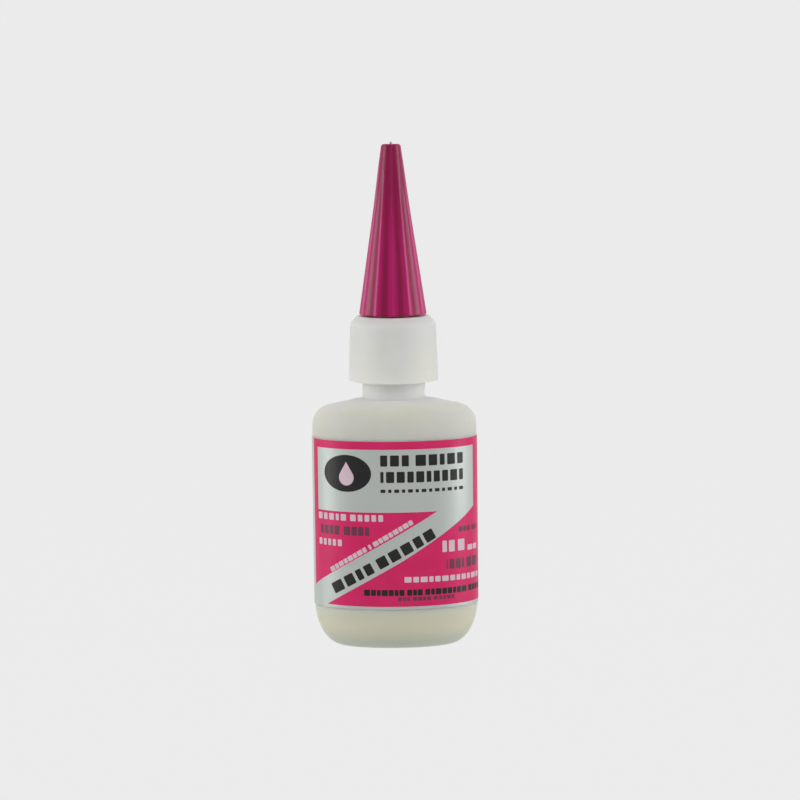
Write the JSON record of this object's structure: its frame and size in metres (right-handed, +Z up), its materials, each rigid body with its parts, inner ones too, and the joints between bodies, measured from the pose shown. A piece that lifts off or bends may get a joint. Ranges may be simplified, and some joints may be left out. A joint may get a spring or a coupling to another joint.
{
  "type": "glue applicator bottle",
  "caption": "Flat oval squeeze bottle of thin adhesive with a wrap-round label, a screw-on nozzle closure and a tall fluted cone cap with an anti-clog pin.",
  "frame": {"origin": "centre of the bottle's foot, on the surface it stands on", "axes": "+Z up along the bottle, neck and cap; +X along the wide side of the oval; the front of the label faces -Y"},
  "size_m": [0.03, 0.0181, 0.0915],
  "materials": {
    "bottle": "milky translucent polyethylene, satin",
    "label": "printed film label, magenta pink and silver grey, satin",
    "adhesive": "clear, faintly yellow liquid",
    "washer": "soft white foamed polyethylene",
    "closure": "milky translucent polyethylene, satin",
    "pin": "bright stainless wire",
    "cap": "magenta moulded polypropylene, glossy"
  },
  "bodies": {
    "bottle_body": {"bottle": "bottle", "wrap_label": "label", "adhesive_fill": "adhesive"},
    "washer": {"neck_washer": "washer"},
    "closure": {"nozzle_closure": "closure"},
    "pin": {"anti_clog_pin": "pin"},
    "cap": {"cone_cap": "cap"}
  },
  "joints": [
    {"name": "closure_lift", "type": "slide", "parent": "bottle_body", "child": "washer", "axis": [0, 0, 1], "range_m": [0, 0.00988]},
    {"name": "closure_turn", "type": "hinge", "parent": "washer", "child": "closure", "pos_m": [0, 0, 0.0537], "axis": [0, 0, 1], "range_deg": [0, 1680]},
    {"name": "cap_lift", "type": "slide", "parent": "closure", "child": "pin", "axis": [0, 0, 1], "range_m": [0, 0.0288]},
    {"name": "cap_turn", "type": "hinge", "parent": "pin", "child": "cap", "pos_m": [0, 0, 0.0625], "axis": [0, 0, 1], "range_deg": [0, 3240]}
  ],
  "couplings": [
    {"joint": "closure_turn", "follows": "closure_lift", "rad_per_m": 2968},
    {"joint": "cap_turn", "follows": "cap_lift", "rad_per_m": 1963.5}
  ]
}
